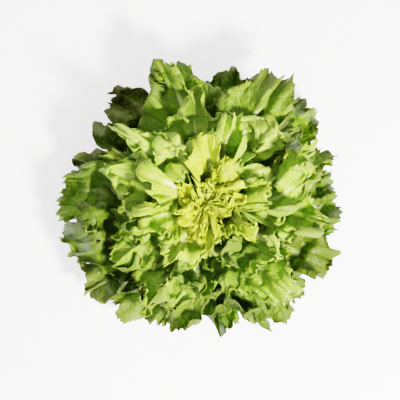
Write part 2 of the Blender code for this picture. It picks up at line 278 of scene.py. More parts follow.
class Margin(NamedTuple):
    """Where the places of a flat blade lie, as seen from its margin."""

    edge: np.ndarray  # nearness to the margin, from 0 to 1
    q: np.ndarray  # distance round the margin
    reach: float  # length of the whole margin
    spoke: np.ndarray  # distance from the blade's centre out to the margin
    out: np.ndarray  # the way out to it, along and across the leaf


def mix(low, high, share):
    return low + (high - low) * share


def smooth_step(low, high, x):
    x = np.clip((x - low) / (high - low), 0.0, 1.0)
    return x * x * (3 - 2 * x)


def stem_radius_at(layer):
    return mix(STEM_RADIUS, STEM_TIP_RADIUS, layer)


def bowl_angle(layer, along):
    """How steeply a bowl climbs at a distance along it."""
    return mix(LOW_BOWL_RISE, TOP_BOWL_RISE, layer) + mix(LOW_BOWL_TURN, TOP_BOWL_TURN, layer) * along


def bowl_point(layer, along):
    """(radius, height) of a bowl at a distance along its arc."""
    turn = mix(LOW_BOWL_TURN, TOP_BOWL_TURN, layer)
    start = bowl_angle(layer, 0.0)
    end = bowl_angle(layer, along)
    radius = stem_radius_at(layer) + (np.sin(end) - np.sin(start)) / turn
    height = mix(LOWEST_LEAF_Z, STEM_TIP_Z, layer) - (np.cos(end) - np.cos(start)) / turn
    return radius, height


def layer_depth(layer, along):
    """The distance between bowls, square to them, per unit of layer."""
    step = 1e-4
    radius, height = bowl_point(layer, along)
    next_radius, next_height = bowl_point(layer + step, along)
    angle = bowl_angle(layer, along)
    return ((next_height - height) * np.cos(angle) - (next_radius - radius) * np.sin(angle)) / step


def length_to_reach(layer, reach):
    """How long a leaf of this layer is when its tip is that far from the Z axis."""
    turn = mix(LOW_BOWL_TURN, TOP_BOWL_TURN, layer)
    start = bowl_angle(layer, 0.0)
    end = math.asin(math.sin(start) + turn * (reach - stem_radius_at(layer)))
    return (end - start) / turn


def leaves_of(whorl, measures, draw):
    """The whorl's leaves in growing order, each with its own waves."""
    leaves = []
    for n, (azimuth, length, half_width, swing) in enumerate(measures):
        layer = mix(*whorl.layers, n / (len(measures) - 1))
        leaves.append(
            Leaf(
                azimuth=azimuth - swing,
                swing=swing,
                layer=layer,
                length=length,
                half_width=half_width,
                foot_half_width=min(FOOT_HALF_WIDTH, 0.55 * stem_radius_at(layer) + 0.001),
                wave=whorl.wave * draw.uniform(0.8, 1.25),
                cup=draw.uniform(*whorl.cup),
                lean=draw.uniform(*whorl.lean),
                wave_counts=(draw.uniform(5.5, 7.5), draw.uniform(9.0, 11.0)),
                wave_phases=(draw.uniform(0, math.tau), draw.uniform(0, math.tau)),
            )
        )
    return leaves


def measured(whorl, table):
    """A whorl's table in metres and radians, with each leaf's length found from its reach."""
    measures = []
    for n, (azimuth, reach, half_width, swing) in enumerate(table):
        layer = mix(*whorl.layers, n / (len(table) - 1))
        length = length_to_reach(layer, reach / 1000)
        measures.append((math.radians(azimuth), length, half_width / 1000, math.radians(swing)))
    return measures


def heart_measures(draw):
    """The heart's leaves: each one a golden angle on from the last, and a little smaller."""
    measures = []
    for n in range(HEART_COUNT):
        share = n / (HEART_COUNT - 1)
        length = mix(*HEART_LENGTHS, share) * draw.uniform(0.94, 1.06)
        half_width = mix(*HEART_HALF_WIDTHS, share) * draw.uniform(0.9, 1.1)
        measures.append((GOLDEN_ANGLE * n, length, half_width, draw.uniform(-0.2, 0.3)))
    return measures


def heart_frills(draw):
    """The heart's small ruffled leaves, which close over the growing tip."""
    frills = []
    for n in range(FRILL_COUNT):
        share = n / (FRILL_COUNT - 1)
        layer = mix(*FRILL_LAYERS, share)
        reach = mix(*FRILL_REACHES, share) * draw.uniform(0.85, 1.15)
        frills.append(
            Leaf(
                azimuth=GOLDEN_ANGLE * (HEART_COUNT + n) + draw.uniform(-0.3, 0.3),
                swing=draw.uniform(-0.8, 0.8),
                layer=layer,
                length=length_to_reach(layer, reach) * mix(1.0, 1.2, share),
                half_width=mix(*FRILL_HALF_WIDTHS, share) * draw.uniform(0.8, 1.2),
                foot_half_width=0.55 * stem_radius_at(layer) + 0.001,
                wave=HEART.wave * draw.uniform(0.8, 1.4),
                cup=draw.uniform(*HEART.cup),
                lean=draw.uniform(*HEART.lean),
                wave_counts=(draw.uniform(5.5, 7.5), draw.uniform(9.0, 11.0)),
                wave_phases=(draw.uniform(0, math.tau), draw.uniform(0, math.tau)),
            )
        )
    return frills


def half_width_at(leaf, u):
    """A narrow foot, a blade that is widest at two thirds of its length, and a blunt tip."""
    spread = smooth_step(0.10, 0.64, u)
    taper = 1 - 0.42 * smooth_step(0.70, 1.0, u)
    return mix(leaf.foot_half_width, leaf.half_width, spread) * taper


def flat_place(leaf, u, v):
    """(along, across) of a point of the leaf before it is bent."""
    return leaf.length * (u - 0.16 * u**4 * v**2), v * half_width_at(leaf, u)


def margin_place(u, v):
    """(nearness to the margin from 0 to 1, angle round it from one side of the foot to the other)."""
    forward = (u - BLADE_CENTRE) / (1 - BLADE_CENTRE)
    return np.maximum(np.abs(v), forward), np.arctan2(v, forward)


def margin_lengths(leaf):
    """(angles, lengths) all round the margin, from the right side of the foot to the left."""
    side = np.linspace(0, 1, 120)
    tip = np.linspace(-1, 1, 80)
    u = np.concatenate([side, np.ones_like(tip), side[::-1]])
    v = np.concatenate([-np.ones_like(side), tip, np.ones_like(side)])
    along, across = flat_place(leaf, u, v)
    steps = np.hypot(np.diff(along), np.diff(across))
    return margin_place(u, v)[1], np.concatenate([[0.0], np.cumsum(steps)])


def margin_of(leaf, u, v):
    """Each place of the flat blade as it lies to the margin."""
    edge, round_margin = margin_place(u, v)
    angles, lengths = margin_lengths(leaf)
    near = np.maximum(edge, 0.05)
    margin_u = np.clip(BLADE_CENTRE + (u - BLADE_CENTRE) / near, 0, 1)
    along, across = flat_place(leaf, margin_u, np.clip(v / near, -1, 1))
    out = np.stack([np.maximum(along - BLADE_CENTRE * leaf.length, 0), across])
    spoke = np.maximum(np.hypot(*out), 1e-4)
    return Margin(edge, np.interp(round_margin, angles, lengths), lengths[-1], spoke, out / spoke)


def drift(draw, size, reach):
    """A smooth random line: heights from -1 to 1 that change every so many metres."""
    knots = np.arange(0, reach + 2 * size, size)
    heights = draw.uniform(-1, 1, len(knots))

    def at(q):
        place = np.clip(q / size, 0, len(knots) - 1.001)
        low = place.astype(int)
        share = smooth_step(0, 1, place - low)
        return mix(heights[low], heights[low + 1], share)

    return at


def teeth_line(draw, margin_q):
    """How far the teeth stand out at each place round the margin, with each point on a vertex."""
    places = [0.0]
    heights = [0.0]
    while places[-1] < margin_q[-1]:
        width = TOOTH_WIDTH * draw.uniform(*TOOTH_WIDTHS)
        peak = places[-1] + width * draw.uniform(*TOOTH_POINTS)
        places += [peak, places[-1] + width]
        heights += [width * draw.uniform(*TOOTH_HEIGHTS), 0.0]
    places = margin_q[np.clip(np.searchsorted(margin_q, places), 0, len(margin_q) - 1)]
    return lambda q: np.interp(q, places, heights)


def cloud(draw, size):
    """A smooth random field: heights from -1 to 1 that change every so many metres."""
    heights = draw.uniform(-1, 1, (CLOUD_CELLS, CLOUD_CELLS))

    def at(x, y):
        x = np.clip(x / size + CLOUD_CENTRE[0], 0, CLOUD_CELLS - 1.01)
        y = np.clip(y / size + CLOUD_CENTRE[1], 0, CLOUD_CELLS - 1.01)
        left, low = x.astype(int), y.astype(int)
        across, up = smooth_step(0, 1, x - left), smooth_step(0, 1, y - low)
        near = mix(heights[left, low], heights[left + 1, low], across)
        far = mix(heights[left, low + 1], heights[left + 1, low + 1], across)
        return mix(near, far, up)

    return at


# Cells across a random field, and the cell that the origin is in.
CLOUD_CELLS = 48
CLOUD_CENTRE = (20, 24)
# Teeth: their usual width, how much wider they are, and each one's point and height against its width.
TOOTH_WIDTH = 0.0044
TOOTH_WIDTHS = (0.6, 1.5)
TOOTH_POINTS = (0.4, 0.7)
TOOTH_HEIGHTS = (0.45, 0.95)
# Wavelength and height of each size of ruffle, and how closely it keeps to the margin.
RUFFLES = ((0.044, 0.0048, 1.8), (0.020, 0.0038, 2.4), (0.0095, 0.0022, 4.0))
# Wavelength and height of the heart's ruffles, against those of the other leaves.
HEART_RUFFLES = (0.7, 1.3)
# Depth of the lobes: the main ones, at the sides and at the tip, those between them, and the smallest.
MAIN_LOBES = (0.0095, 0.0045)
BETWEEN_LOBES = 0.0035
SMALL_LOBES = 0.0032
# Distance between puffs of the blade, and their height.
PUFFS = ((0.022, 0.0036), (0.011, 0.0023), (0.0060, 0.0011))
# Waves that cross the outer half of the blade, and the bends that they and the ruffles follow.
TIER_LENGTH = 0.040
TIER_HEIGHT = 0.0042
BEND_SIZE = 0.030
# The most that a blade twists, and that a tip inside the outer whorl sweeps up.
MOST_TWIST = 0.009
MOST_SWEEP = 0.010
# Pleats along the blade, and the groove over its rib.
PLEAT_HEIGHT = 0.0013
GROOVE_DEPTH = 0.0016
GROOVE_WIDTH = 0.0045
# Flaps of the margin that curl over: how soon their depth, way and turn change along it, their depth and
# their radius.
FLAP_DRIFTS = (0.028, 0.050, 0.045)
FLAP_DEPTH = 0.045
FLAP_RADIUS = 0.0032
# Folds that roll a corner or the tip over: how many, their depth, slant, roll radius and most turn, and
# the share of them that roll up.
FOLDS = {
    "outer_leaf": (2, (0.006, 0.018), (0.9, 1.4), 0.0045, (1.0, 2.0), 0.65),
    "middle_leaf": (3, (0.006, 0.022), (0.0, 1.3), 0.0050, (0.9, 2.1), 0.6),
    "inner_leaf": (3, (0.006, 0.020), (0.0, 1.2), 0.0050, (0.9, 2.0), 0.5),
    "heart_leaves": (3, (0.005, 0.013), (0.0, 1.2), 0.0042, (0.8, 1.8), 0.5),
    "bud": (2, (0.010, 0.017), (0.2, 1.0), 0.0045, (1.2, 1.9), 0.65),
}


def in_heart(leaf):
    return leaf.layer > INNER.layers[1]


def rolled(beyond, radius, most):
    """(turn, push, rise) of a strip that rolls over, for each distance beyond the line where it starts."""
    turn = np.minimum(beyond / radius, most)
    flat = beyond - radius * turn
    push = radius * np.sin(turn) + flat * np.cos(turn) - beyond
    return turn, push, radius * (1 - np.cos(turn)) + flat * np.sin(turn)


def folded(draw, folds, along, across, lift, ramp):
    """(along, across, lift) once the folds have rolled their corners over, up or down."""
    count, depths, slants, radius, turns, upward = folds
    for _ in range(count):
        slant = draw.uniform(*slants) * draw.choice((-1, 1))
        depth = draw.uniform(*depths)
        most = draw.uniform(*turns)
        way = 1 if draw.uniform(0, 1) < upward else -1
        toward = along * math.cos(slant) + across * math.sin(slant)
        beyond = np.maximum(toward - (toward.max() - depth), 0) * ramp
        turn, push, rise = rolled(beyond, radius, most)
        push = push - way * lift * np.sin(turn)
        lift = lift * np.cos(turn) + way * rise
        along = along + push * math.cos(slant)
        across = across + push * math.sin(slant)
    return along, across, lift


def flapped(leaf, margin, ramp, frill, draw):
    """(push, lift) of the stretches of the margin that curl over, more of them up than down."""
    depth, way, turn = (drift(draw, size, margin.reach)(margin.q) for size in FLAP_DRIFTS)
    depth = np.maximum(depth - 0.3, 0) * FLAP_DEPTH * frill * ramp * (0.6 if in_heart(leaf) else 1.0)
    depth = np.clip(depth - (1 - margin.edge) * margin.spoke, 0, None)
    way = np.sign(way + 0.2)
    _, push, rise = rolled(depth, FLAP_RADIUS, np.where(way > 0, 1.6 + 0.8 * turn, 0.7))
    return push, way * rise


def lobed(turn):
    """Round lobes with sharp bays between them, one for each half turn."""
    return np.abs(np.sin(turn)) ** 0.6 - 0.7


def rippled(leaf, u, margin, ramp, bend, frill, draw):
    """(push, slide, lift) of the ruffles, with the lobes that go with them."""
    longer, taller = HEART_RUFFLES if in_heart(leaf) else (1.0, 1.0)
    push, slide, lift = np.zeros((3, *u.shape))
    for n, (size, height, power) in enumerate(RUFFLES):
        size = size * (0.55 + 0.45 * frill) * longer
        turn = math.tau * margin.q / size + 2.4 * drift(draw, 2.0 * size, margin.reach)(margin.q)
        turn = turn + draw.uniform(0, math.tau) + 0.9 * bend
        lively = 0.35 + 1.6 * np.maximum(drift(draw, 1.8 * size, margin.reach)(margin.q), 0)
        tall = height * frill * lively * margin.edge**power * ramp * taller
        lift = lift + tall * np.sin(turn)
        slide = slide - 0.5 * tall * np.sin(2 * turn)
        if n == 1:
            depth = mix(*MAIN_LOBES, smooth_step(0.75, 0.97, u))
            push = push + depth * frill * lobed(turn / 2 + 0.8) * margin.edge**5 * ramp
            push = push + BETWEEN_LOBES * frill * lobed(turn * 0.83 + 2.1) * margin.edge**8 * ramp
        if n == 2:
            push = push + SMALL_LOBES * frill * lobed(turn / 2) * margin.edge**8 * ramp
    return push, slide, lift


def ruffled(name, leaf, u, v, frill, folds, draw):
    """(along, across, lift): where a flat place of the blade comes to lie, with its ruffles."""
    along, across = flat_place(leaf, u, v)
    margin = margin_of(leaf, u, v)
    edge = margin.edge
    ramp = smooth_step(0.18, 0.55, u)
    teeth = teeth_line(draw, np.unique(margin.q[edge > 0.999]))(margin.q)
    push = teeth * smooth_step(0.90, 1.0, edge) * smooth_step(0.25, 0.5, u)
    lift = draw.uniform(-MOST_TWIST, MOST_TWIST) * frill * v * u**2
    bend = cloud(draw, BEND_SIZE)(along, across)
    lobes, slide, waves = rippled(leaf, u, margin, ramp, bend, frill, draw)
    push = push + lobes
    lift = lift + waves
    tiers = np.sin(math.tau * along / TIER_LENGTH + 2.6 * bend + draw.uniform(0, math.tau))
    lift = lift + TIER_HEIGHT * frill * smooth_step(0.4, 0.8, u) * tiers
    sweep = draw.uniform(0.0, MOST_SWEEP) * (leaf.layer > OUTER.layers[1])
    lift = lift + sweep * smooth_step(0.62, 1.0, u)
    lift = lift + RAISED_TIPS.get(name, 0.0) * smooth_step(0.25, 0.85, u)
    for middle, width, depth in TIPS.get(name, ()):
        push = push + depth * np.exp(-(((v - middle) / width) ** 2)) * edge**5 * (u > BLADE_CENTRE)
    curl, rise = flapped(leaf, margin, ramp, frill, draw)
    push = push + curl
    lift = lift + rise
    for size, height in PUFFS:
        puff = cloud(draw, size)(along, across)
        lift = lift + height * frill * ramp * (np.abs(puff) - 0.35)
    pleats = np.sin(v * draw.uniform(6, 11) + 1.6 * np.sin(3 * u + draw.uniform(0, 6)) + draw.uniform(0, 6))
    lift = lift + PLEAT_HEIGHT * frill * pleats * smooth_step(0.1, 0.4, u) * (1 - 0.7 * edge)
    groove = np.exp(-((across / GROOVE_WIDTH) ** 2)) * (1 - smooth_step(0.3, 0.95, u))
    lift = lift - GROOVE_DEPTH * groove
    out_along, out_across = margin.out
    along = along + out_along * push - out_across * slide
    across = across + out_across * push + out_along * slide
    return folded(draw, folds, along, across, lift, ramp)


def blade_surface(name, leaf, u, v, frill, folds, draw):
    """(layer, distance, azimuth) of the leaf, before it is laid on those under it."""
    along, across, ruffle = ruffled(name, leaf, u, v, frill, folds, draw)
    angle = bowl_angle(leaf.layer, along)
    radius = np.maximum(bowl_point(leaf.layer, along)[0], STEM_TIP_RADIUS)
    stick_out = (np.hypot(radius, across) - radius) * smooth_step(0.0, 0.2, u)
    along = along + stick_out * np.cos(angle) - FOOT_SUNK * (1 - u) ** 12
    edge, round_margin = margin_place(u, v)
    ramp = smooth_step(0.15, 0.6, u)
    waves = sum(
        share * np.sin(count * round_margin + phase)
        for share, count, phase in zip((0.65, 0.45), leaf.wave_counts, leaf.wave_phases)
    )
    lift = leaf.wave * ramp * edge**1.7 * waves
    lift = lift + leaf.cup * ramp * v**2 + leaf.lean * u**2 - 0.8 * stick_out * np.sin(angle)
    layer = leaf.layer + (lift + ruffle) / layer_depth(leaf.layer, along)
    return layer, along, leaf.azimuth + np.arctan2(across, radius) + leaf.swing * u**2


def surface_map():
    """The layer at which each cell clears the surface that the head stands on."""
    layers = np.linspace(-0.6, 1.0, 400)
    laid = np.empty((MAP_ROWS, MAP_COLUMNS))
    for row in range(MAP_ROWS):
        heights = bowl_point(layers, row * MAP_STEP)[1]
        laid[row] = np.interp(SURFACE_GAP, heights, layers)
    return laid


def eased(values, reach, spread):
    """The greatest value within reach of each place, then blended into its neighbours."""
    for axis in (0, 1):
        widest = values
        for step in range(1, reach + 1):
            widest = np.maximum(widest, np.roll(values, step, axis))
            widest = np.maximum(widest, np.roll(values, -step, axis))
        values = widest
    for _ in range(spread):
        padded = np.pad(values, 1, mode="edge")
        values = (padded[:-2, 1:-1] + padded[2:, 1:-1] + padded[1:-1, :-2] + padded[1:-1, 2:]) / 4
    return values


def between(grid):
    """A grid's points and those half way between them."""
    rows = np.repeat(grid, 2, axis=0)[:-1]
    rows[1::2] = (grid[:-1] + grid[1:]) / 2
    both = np.repeat(rows, 2, axis=1)[:, :-1]
    both[:, 1::2] = (rows[:, :-1] + rows[:, 1:]) / 2
    return both


def map_cells(along, azimuth):
    row = np.clip(np.rint(along / MAP_STEP).astype(int), 0, MAP_ROWS - 1)
    column = np.rint(np.degrees(azimuth)).astype(int) % MAP_COLUMNS
    return row, column


def lay(surface, laid, softness):
    """Lifts a leaf off those under it by a share of what it needs, marks the map and returns its layers."""
    layer, along, azimuth = surface
    depth = layer_depth(layer, along)
    row, column = map_cells(along, azimuth)
    need = np.maximum(laid[row, column] - layer + LEAF_GAP / depth, 0)
    reach = max(2, len(layer) // 22)
    layer = layer + softness * eased(need, reach, 3 * reach)
    row, column = map_cells(between(along), between(azimuth))
    np.maximum.at(laid, (row, column), between(layer))
    return layer


def leaf_sheet(name, rows, columns):
    """A flat sheet for a leaf: its foot at one end, its tip at the other, a square metre in all."""
    bpy.ops.object.select_all(action="DESELECT")
    bpy.ops.mesh.primitive_grid_add(x_subdivisions=columns, y_subdivisions=rows, size=1.0)
    sheet = bpy.context.active_object
    sheet.name = name
    sheet.data.name = name
    return sheet


def sheet_grid(sheet):
    """(order of the vertices by row and column, u, v) of a flat sheet."""
    flat = np.empty(3 * len(sheet.data.vertices))
    sheet.data.vertices.foreach_get("co", flat)
    flat = flat.reshape(-1, 3).round(6)
    order = np.lexsort((flat[:, 0], flat[:, 1]))
    rows = len(np.unique(flat[:, 1]))
    u = flat[order, 1].reshape(rows, -1) + 0.5
    v = flat[order, 0].reshape(rows, -1) * 2
    return order, u**ROW_CROWDING, v


def rib_share(u, v):
    """How much of the fleshy rib each place has: all of it at the foot, none at the tip."""
    width = mix(0.75, 0.10, smooth_step(0.0, 0.5, u))
    return np.exp(-((v / width) ** 2) * 2.0) * (1 - 0.95 * smooth_step(0.25, 1.0, u))


def dished(radius, height):
    """The height of a place once what stands above the crown's dish is squashed."""
    crown = mix(HEART_HEIGHT, CROWN_HEIGHT, smooth_step(*CROWN_RADII, radius))
    return np.minimum(height, crown + CROWN_SQUASH * (height - crown))


def swirled(radius, azimuth, height):
    """(x, y) of a place, turned and pushed about if it is at the top of the heart."""
    share = 1 - smooth_step(*SWIRL_RADII, radius)
    share = share * smooth_step(*SWIRL_HEIGHTS, height)
    azimuth = azimuth + SWIRL * share
    x, y = radius * np.cos(azimuth), radius * np.sin(azimuth)
    field = np.random.default_rng([SEED, SWIRL_STREAM])
    push_x, push_y = cloud(field, PUSH_SIZE), cloud(field, PUSH_SIZE)
    return x + PUSH * share * push_x(x, y), y + PUSH * share * push_y(x, y)


def mark_leaf(sheet, order, u, v, shade, tone_with_painted_light):
    """Gives a sheet the marks that the leaf skins read, and its rib as a group of vertices."""
    rib = rib_share(u, v)
    edge, _ = margin_place(u, v)
    marks = np.empty((len(order), 4))
    marks[order] = np.stack([rib, edge, u, np.full_like(u, shade)], axis=-1).reshape(-1, 4)
    # The second attribute holds each leaf's tones, with its painted light and painted shade.
    for name, values in (("leaf_marks", marks), ("leaf_tone_and_painted_light", np.tile(tone_with_painted_light, len(order)))):
        attribute = sheet.data.color_attributes.new(name, "FLOAT_COLOR", "POINT")
        attribute.data.foreach_set("color", values.ravel())
    group = sheet.vertex_groups.new(name="rib")
    weights = np.empty(len(order))
    weights[order] = rib.ravel()
    for vertex, weight in enumerate(weights):
        if weight > 0.01:
            group.add([vertex], float(weight), "REPLACE")


def thicken(sheet, leaf, finishes):
    """Makes a sheet a closed blade, thick along its rib, with one skin above and one below."""
    for finish in finishes:
        sheet.data.materials.append(finish)
    body = sheet.modifiers.new("blade", "SOLIDIFY")
    body.thickness = RIB_THICKNESS * min(1.0, leaf.half_width / FULL_RIB_HALF_WIDTH)
    body.offset = -1
    body.vertex_group = "rib"
    body.thickness_vertex_group = BLADE_THICKNESS / body.thickness
    body.material_offset = 1
    body.material_offset_rim = 0
    bpy.context.view_layer.objects.active = sheet
    bpy.ops.object.modifier_apply(modifier="blade")
    bpy.ops.object.shade_smooth()


def shape_leaf(name, leaf, whorl, laid, draw, softness, finishes, tone_with_painted_light):
    """One leaf: a flat sheet bent to its place, given its marks and its thickness."""
    scale = 1.0
    sheet = leaf_sheet(f"{name}_blade", int(whorl.rows * scale), int(whorl.columns * scale))
    order, u, v = sheet_grid(sheet)
    folds = FOLDS["bud" if leaf.layer > LOWEST_BUD_LAYER else whorl.name]
    frill = whorl.frill * LIVELY.get(name, 1.0) * draw.uniform(0.85, 1.25)
    surface = blade_surface(name, leaf, u, v, frill, folds, draw)
    layer = lay(surface, laid, softness)
    _, along, azimuth = surface
    radius, height = bowl_point(layer, along)
    height = dished(radius, np.maximum(height, SURFACE_GAP))
    radius = np.maximum(radius, LEAST_RADIUS)
    points = np.empty((len(order), 3))
    points[order] = np.stack([*swirled(radius, azimuth, height), height], axis=-1).reshape(-1, 3)
    sheet.data.vertices.foreach_set("co", points.ravel())
    sheet.data.flip_normals()
    mark_leaf(sheet, order, u, v, draw.uniform(0, 1), tone_with_painted_light)
    thicken(sheet, leaf, finishes)
    return sheet


def node(nodes, kind, place, **values):
    """A shader node at its place in the editor, with its own settings."""
    made = nodes.new(kind)
    made.location = place
    for key, value in values.items():
        setattr(made, key, value)
    return made


def mixed(tree, place, share, low, high, blend="MIX"):
    """A colour mixed from two, where each may be a colour or a socket."""
    made = node(tree.nodes, "ShaderNodeMix", place, data_type="RGBA", blend_type=blend)
    for socket, value in ((made.inputs[0], share), (made.inputs[6], low), (made.inputs[7], high)):
        if isinstance(value, bpy.types.NodeSocket):
            tree.links.new(value, socket)
        elif isinstance(value, tuple):
            socket.default_value = (*value, 1.0)
        else:
            socket.default_value = value
    return made.outputs[2]


def ramped(tree, place, value, low, high):
    """0 at the low value, 1 at the high one."""
    made = node(tree.nodes, "ShaderNodeMapRange", place, interpolation_type="SMOOTHSTEP")
    made.inputs["From Min"].default_value = low
    made.inputs["From Max"].default_value = high
    tree.links.new(value, made.inputs["Value"])
    return made.outputs["Result"]


def calculated(tree, place, operation, first, second=0.0):
    """The result of one operation, where each value may be a number or a socket."""
    made = node(tree.nodes, "ShaderNodeMath", place, operation=operation)
    for socket, value in zip(made.inputs, (first, second)):
        if isinstance(value, bpy.types.NodeSocket):
            tree.links.new(value, socket)
        else:
            socket.default_value = value
    return made.outputs[0]


def times(tree, place, value, factor):
    """A socket's value, times a number or another socket."""
    return calculated(tree, place, "MULTIPLY", value, factor)


def noise(tree, place, where, scale, detail=2.0):
    """How mottled each place is, from 0 to 1."""
    made = node(tree.nodes, "ShaderNodeTexNoise", place)
    made.inputs["Scale"].default_value = scale
    made.inputs["Detail"].default_value = detail
    tree.links.new(where, made.inputs["Vector"])
    return made.outputs["Fac"]


def own_marks(tree, place, name):
    """(red, green, blue, alpha) of a leaf's own marks."""
    x, y = place
    marks = node(tree.nodes, "ShaderNodeVertexColor", place, layer_name=name)
    split = node(tree.nodes, "ShaderNodeSeparateColor", (x + 200, y))
    tree.links.new(marks.outputs["Color"], split.inputs["Color"])
    return *split.outputs, marks.outputs["Alpha"]


class Skin(NamedTuple):
    """The colours of a leaf from its foot out, and how much light glows through its blade."""

    foot: tuple
    blade: tuple
    tip: tuple
    margin: tuple
    rib: tuple
    glow: float


WHITE_RIB = (0.68, 0.75, 0.38)
SKINS = {
    "outer_leaf": Skin(
        foot=(0.305, 0.42, 0.055),
        blade=(0.124, 0.202, 0.017),
        tip=(0.088, 0.138, 0.009),
        margin=(0.085, 0.085, 0.006),
        rib=WHITE_RIB,
        glow=0.5,
    ),
    "middle_leaf": Skin(
        foot=(0.42, 0.545, 0.11),
        blade=(0.237, 0.362, 0.046),
        tip=(0.175, 0.277, 0.028),
        margin=(0.157, 0.197, 0.014),
        rib=WHITE_RIB,
        glow=0.7,
    ),
    "inner_leaf": Skin(
        foot=(0.485, 0.575, 0.09),
        blade=(0.305, 0.423, 0.050),
        tip=(0.267, 0.402, 0.045),
        margin=(0.297, 0.392, 0.045),
        rib=WHITE_RIB,
        glow=0.85,
    ),
    "heart_leaf": Skin(
        foot=(0.32, 0.41, 0.017),
        blade=(0.365, 0.462, 0.022),
        tip=(0.425, 0.518, 0.042),
        margin=(0.505, 0.585, 0.085),
        rib=(0.66, 0.71, 0.20),
        glow=0.85,
    ),
}
# Size of the mottling, patches, grain and net of fine veins: a higher scale is finer.
MOTTLE_SCALE = 55.0
PATCH_SCALE = 14.0
GRAIN_SCALE = 420.0
NET_SCALE = 240.0
UPPER_ROUGHNESS = 0.47
UNDERSIDE_ROUGHNESS = 0.58
YELLOW_LEAF = (0.60, 0.62, 0.055)
# Painted light: a paler green for leaves that the light falls on. Painted shade: a darker green for leaves
# in shade, and a brown rim that is partly the outer leaves' own margin and partly painted shade.
PAINTED_LIGHT_GREEN = (0.41, 0.565, 0.115)
PAINTED_SHADE_GREEN = (0.075, 0.125, 0.008)
BROWN_RIM_AND_PAINTED_SHADE = (0.058, 0.048, 0.002)
# Side veins: how many leave the rib, how steeply they climb to the margin and how much they wander.
VEIN_COUNT = 9.0
VEIN_CLIMB = 5.2
VEIN_WANDER = 1.6


def side_veins(tree, sheet_uv, patches):
    """1 on the veins that climb from the rib to the margin, 0 between them."""
    place = node(tree.nodes, "ShaderNodeSeparateXYZ", (-1400, -900))
    tree.links.new(sheet_uv, place.inputs[0])
    side = calculated(tree, (-1200, -900), "SUBTRACT", place.outputs["X"], 0.5)
    side = calculated(tree, (-1100, -900), "ABSOLUTE", side)
    climb = calculated(tree, (-1000, -900), "POWER", side, 0.75)
    rungs = times(tree, (-1000, -1050), place.outputs["Y"], VEIN_COUNT)
    rungs = calculated(tree, (-800, -950), "SUBTRACT", rungs, times(tree, (-900, -900), climb, VEIN_CLIMB))
    rungs = calculated(tree, (-700, -950), "ADD", rungs, times(tree, (-900, -1100), patches, VEIN_WANDER))
    vein = calculated(tree, (-600, -950), "PINGPONG", rungs, 0.5)
    line = ramped(tree, (-500, -950), vein, 0.11, 0.0)
    return times(tree, (-400, -950), line, ramped(tree, (-500, -1100), side, 0.5, 0.25))


def leaf_colour(tree, skin, marks, mottle, patches, net_line, vein_line):
    """The leaf's colour: its skin from the foot out, with veins, then its own tones, with painted light and
    painted shade, its rib and a brown rim that is partly painted shade.
    """
    rib_mark, edge_mark, out_mark, shade = marks
    outward = calculated(tree, (-1000, 100), "ADD", out_mark, patches)
    share = ramped(tree, (-950, 150), outward, 0.62, 1.05)
    colour = mixed(tree, (-900, 300), share, skin.foot, skin.blade)
    share = ramped(tree, (-800, 100), outward, 1.05, 1.5)
    colour = mixed(tree, (-750, 300), share, colour, skin.tip)
    rim = calculated(tree, (-950, 0), "ADD", edge_mark, times(tree, (-1050, -50), mottle, 0.5))
    colour = mixed(tree, (-600, 300), ramped(tree, (-700, 50), rim, 1.06, 1.30), colour, skin.margin)
    spots = times(tree, (-600, -300), ramped(tree, (-900, -300), mottle, 0.35, 0.70), 0.35)
    colour = mixed(tree, (-450, 300), spots, colour, skin.blade)
    lines = times(tree, (-450, -700), net_line, 0.05)
    lines = calculated(tree, (-300, -700), "MAXIMUM", lines, times(tree, (-300, -850), vein_line, 0.12))
    colour = mixed(tree, (-300, 300), lines, colour, skin.rib)

    # The heart's yellow, painted light as a paler green, painted shade as a darker green, and a brown rim
    # towards the tip that is partly painted shade.
    dark, yellow, pale, deep = own_marks(tree, (-700, 600), "leaf_tone_and_painted_light")
    colour = mixed(tree, (-200, 300), yellow, colour, YELLOW_LEAF)
    colour = mixed(tree, (-150, 300), times(tree, (-250, 500), pale, 0.75), colour, PAINTED_LIGHT_GREEN)
    colour = mixed(tree, (-100, 300), times(tree, (-250, 550), deep, 0.8), colour, PAINTED_SHADE_GREEN)
    # Leaves with painted light show more of their white rib.
    rib_reach = calculated(tree, (-400, 450), "ADD", times(tree, (-500, 450), pale, 1.2), 1.0)
    rib_shown = times(tree, (-300, 450), rib_mark, rib_reach)
    colour = mixed(tree, (0, 300), ramped(tree, (-200, 450), rib_shown, 0.12, 0.62), colour, skin.rib)
    colour = mixed(tree, (150, 300), times(tree, (0, 500), shade, 0.25), colour, skin.blade, "SOFT_LIGHT")
    rim_and_shade_share = times(tree, (0, 650), dark, ramped(tree, (-150, 750), out_mark, 0.3, 0.7))
    return mixed(tree, (300, 300), rim_and_shade_share, colour, BROWN_RIM_AND_PAINTED_SHADE)


def leaf_relief(tree, mottle, grain, net_line, vein_line):
    """The leaf's fine relief: blisters and grain, with the veins sunk in."""
    relief = times(tree, (-300, -500), mottle, 1.6)
    relief = calculated(tree, (-250, -500), "ADD", relief, times(tree, (-300, -650), grain, 0.85))
    relief = calculated(tree, (-200, -500), "SUBTRACT", relief, times(tree, (-300, -600), vein_line, 0.4))
    return calculated(tree, (-150, -500), "SUBTRACT", relief, times(tree, (-250, -600), net_line, 0.12))


